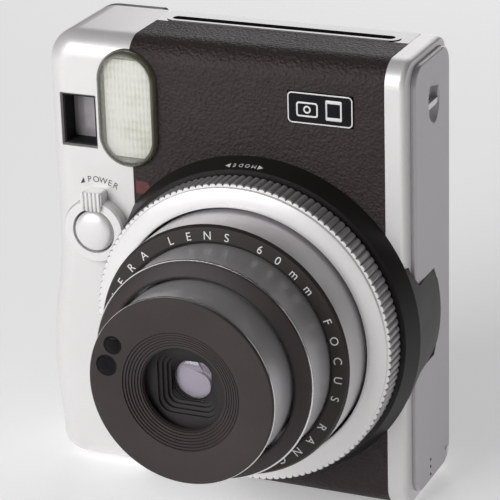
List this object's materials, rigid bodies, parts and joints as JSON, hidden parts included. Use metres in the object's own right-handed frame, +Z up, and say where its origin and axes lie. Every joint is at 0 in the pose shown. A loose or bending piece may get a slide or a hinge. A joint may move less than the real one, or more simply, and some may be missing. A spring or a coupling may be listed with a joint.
{
  "type": "instant camera",
  "caption": "Upright instant film camera with a telescoping lens, knurled mode dial, flash, viewfinder, leather-covered case, hinged film door and motor-driven film rollers.",
  "frame": {"origin": "mouth of the tripod socket in the middle of the case bottom", "axes": "+Z up, lens looks along -Y, +X to the right of somebody facing the lens"},
  "size_m": [0.1001, 0.0765, 0.1134],
  "materials": {
    "silver_case": "satin silver paint",
    "silver_trim": "satin anodised",
    "dial_metal": "satin silver plated plastic, knurled edge",
    "barrel_grey": "brushed grey",
    "black_hide": "fine grained leatherette",
    "black_case": "fine matt",
    "black_inner": "matt",
    "nose_black": "fine matt",
    "clear_glass": "clear",
    "dark_glass": "dark tinted",
    "flash_glass": "ribbed clear",
    "red_glass": "deep red",
    "mirror_metal": "polished reflector",
    "steel": "bright",
    "gear_plastic": "natural acetal",
    "brass_insert": "turned",
    "board_green": "laminate",
    "battery_grey": "wrapped cell",
    "foot_rubber": "soft"
  },
  "bodies": {
    "camera_body": {"left_cover": "silver_case", "back_panel": "black_case", "front_cover": "black_inner", "front_leather": "black_hide", "right_cover": "silver_case", "right_side_plate": "silver_trim", "top_deck": "silver_trim", "bottom_cover": "black_case", "main_frame": "black_inner", "light_cone": "black_inner", "lens_shroud": "black_case", "lens_base_tube": "dial_metal", "lettered_ring": "nose_black", "flash_lens": "flash_glass", "flash_reflector": "mirror_metal", "flash_tube": "clear_glass", "viewfinder_window": "clear_glass", "viewfinder_tunnel": "black_inner", "eyepiece_lens": "clear_glass", "shutter_spring": "steel", "timer_lamp": "red_glass", "badge_plate": "dark_glass", "hinge_pin": "steel", "display_window": "dark_glass", "battery": "battery_grey", "tripod_socket": "brass_insert", "feet": "foot_rubber", "circuit_board": "board_green", "drive_motor": "steel", "gear_studs": "steel", "roller_bracket": "steel", "strap_bars": "steel"},
    "mode_dial": {"mode_dial": "dial_metal"},
    "middle_stage": {"middle_barrel": "barrel_grey", "middle_ring": "nose_black"},
    "inner_stage": {"inner_barrel": "barrel_grey", "front_ring": "nose_black", "lens_hood": "black_inner", "front_lens": "clear_glass", "rear_lens": "clear_glass", "sensor_windows": "dark_glass"},
    "upper_blade": {"upper_barrier_blade": "black_inner"},
    "lower_blade": {"lower_barrier_blade": "black_inner"},
    "power_lever": {"power_lever": "silver_trim"},
    "shutter_button": {"shutter_button": "silver_trim"},
    "side_shutter_button": {"side_shutter_button": "silver_trim"},
    "control_button_1": {"control_button_1": "black_case"},
    "control_button_2": {"control_button_2": "black_case"},
    "control_button_3": {"control_button_3": "black_case"},
    "control_button_4": {"control_button_4": "black_case"},
    "back_door": {"back_door": "black_case", "door_leather": "black_hide", "film_window": "dark_glass"},
    "door_latch": {"door_latch": "silver_trim"},
    "battery_cover": {"battery_cover": "black_case"},
    "front_roller": {"front_roller": "steel"},
    "rear_roller": {"rear_roller": "steel"},
    "upper_drive_gear": {"upper_drive_gear": "gear_plastic"},
    "lower_drive_gear": {"lower_drive_gear": "gear_plastic"},
    "motor_pinion": {"motor_pinion": "gear_plastic"}
  },
  "joints": [
    {"name": "dial_turn", "type": "hinge", "parent": "camera_body", "child": "mode_dial", "pos_m": [0.0086, -0.024, 0.0461], "axis": [0, -1, 0], "continuous": true},
    {"name": "middle_slide", "type": "slide", "parent": "camera_body", "child": "middle_stage", "axis": [0, 1, 0], "range_m": [0, 0.00935]},
    {"name": "inner_slide", "type": "slide", "parent": "middle_stage", "child": "inner_stage", "axis": [0, 1, 0], "range_m": [0, 0.00935]},
    {"name": "upper_blade_swing", "type": "hinge", "parent": "inner_stage", "child": "upper_blade", "pos_m": [-0.0069, -0.0576, 0.0474], "axis": [0, 1, 0], "range_deg": [0, 50]},
    {"name": "lower_blade_swing", "type": "hinge", "parent": "inner_stage", "child": "lower_blade", "pos_m": [-0.0069, -0.0573, 0.0448], "axis": [0, 1, 0], "range_deg": [-50, 0]},
    {"name": "power_turn", "type": "hinge", "parent": "camera_body", "child": "power_lever", "pos_m": [-0.0337, -0.016, 0.0638], "axis": [0, -1, 0], "range_deg": [0, 30], "stiffness_Nm_per_rad": 0.02},
    {"name": "shutter_press", "type": "slide", "parent": "camera_body", "child": "shutter_button", "axis": [0, 1, 0], "range_m": [0, 0.0012], "stiffness_N_per_m": 600, "springref_m": -0.001, "deforming": ["shutter_spring"]},
    {"name": "side_shutter_press", "type": "slide", "parent": "camera_body", "child": "side_shutter_button", "axis": [1, 0, 0], "range_m": [0, 0.0007], "stiffness_N_per_m": 600, "springref_m": -0.001},
    {"name": "control_press_1", "type": "slide", "parent": "camera_body", "child": "control_button_1", "axis": [0, -1, 0], "range_m": [0, 0.0005], "stiffness_N_per_m": 500, "springref_m": -0.001},
    {"name": "control_press_2", "type": "slide", "parent": "camera_body", "child": "control_button_2", "axis": [0, -1, 0], "range_m": [0, 0.0005], "stiffness_N_per_m": 500, "springref_m": -0.001},
    {"name": "control_press_3", "type": "slide", "parent": "camera_body", "child": "control_button_3", "axis": [0, -1, 0], "range_m": [0, 0.0005], "stiffness_N_per_m": 500, "springref_m": -0.001},
    {"name": "control_press_4", "type": "slide", "parent": "camera_body", "child": "control_button_4", "axis": [0, -1, 0], "range_m": [0, 0.0005], "stiffness_N_per_m": 500, "springref_m": -0.001},
    {"name": "door_swing", "type": "hinge", "parent": "camera_body", "child": "back_door", "pos_m": [0, 0.0112, 0.0054], "axis": [-1, 0, 0], "range_deg": [0, 90]},
    {"name": "latch_slide", "type": "slide", "parent": "back_door", "child": "door_latch", "axis": [0, 0, 1], "range_m": [0, 0.003], "stiffness_N_per_m": 200, "springref_m": -0.001},
    {"name": "battery_cover_swing", "type": "hinge", "parent": "camera_body", "child": "battery_cover", "pos_m": [-0.0409, 0, 0.0008], "axis": [0, 1, 0], "range_deg": [0, 90]},
    {"name": "front_roller_spin", "type": "hinge", "parent": "camera_body", "child": "front_roller", "pos_m": [-0.025, 0.00185, 0.1066], "axis": [1, 0, 0], "continuous": true},
    {"name": "rear_roller_spin", "type": "hinge", "parent": "camera_body", "child": "rear_roller", "pos_m": [-0.025, 0.00735, 0.1066], "axis": [1, 0, 0], "continuous": true},
    {"name": "upper_drive_gear_spin", "type": "hinge", "parent": "camera_body", "child": "upper_drive_gear", "pos_m": [-0.025, 0.00185, 0.09776], "axis": [1, 0, 0], "continuous": true},
    {"name": "lower_drive_gear_spin", "type": "hinge", "parent": "camera_body", "child": "lower_drive_gear", "pos_m": [-0.025, 0.00185, 0.08558], "axis": [1, 0, 0], "continuous": true},
    {"name": "motor_pinion_spin", "type": "hinge", "parent": "camera_body", "child": "motor_pinion", "pos_m": [-0.025, 0.00185, 0.07753], "axis": [1, 0, 0], "continuous": true}
  ],
  "couplings": [
    {"joint": "rear_roller_spin", "follows": "front_roller_spin", "ratio": -1},
    {"joint": "upper_drive_gear_spin", "follows": "front_roller_spin", "ratio": -0.45161},
    {"joint": "lower_drive_gear_spin", "follows": "front_roller_spin", "ratio": 0.45161},
    {"joint": "motor_pinion_spin", "follows": "front_roller_spin", "ratio": -1.4},
    {"joint": "inner_slide", "follows": "middle_slide", "ratio": 1},
    {"joint": "lower_blade_swing", "follows": "upper_blade_swing", "ratio": -1}
  ]
}
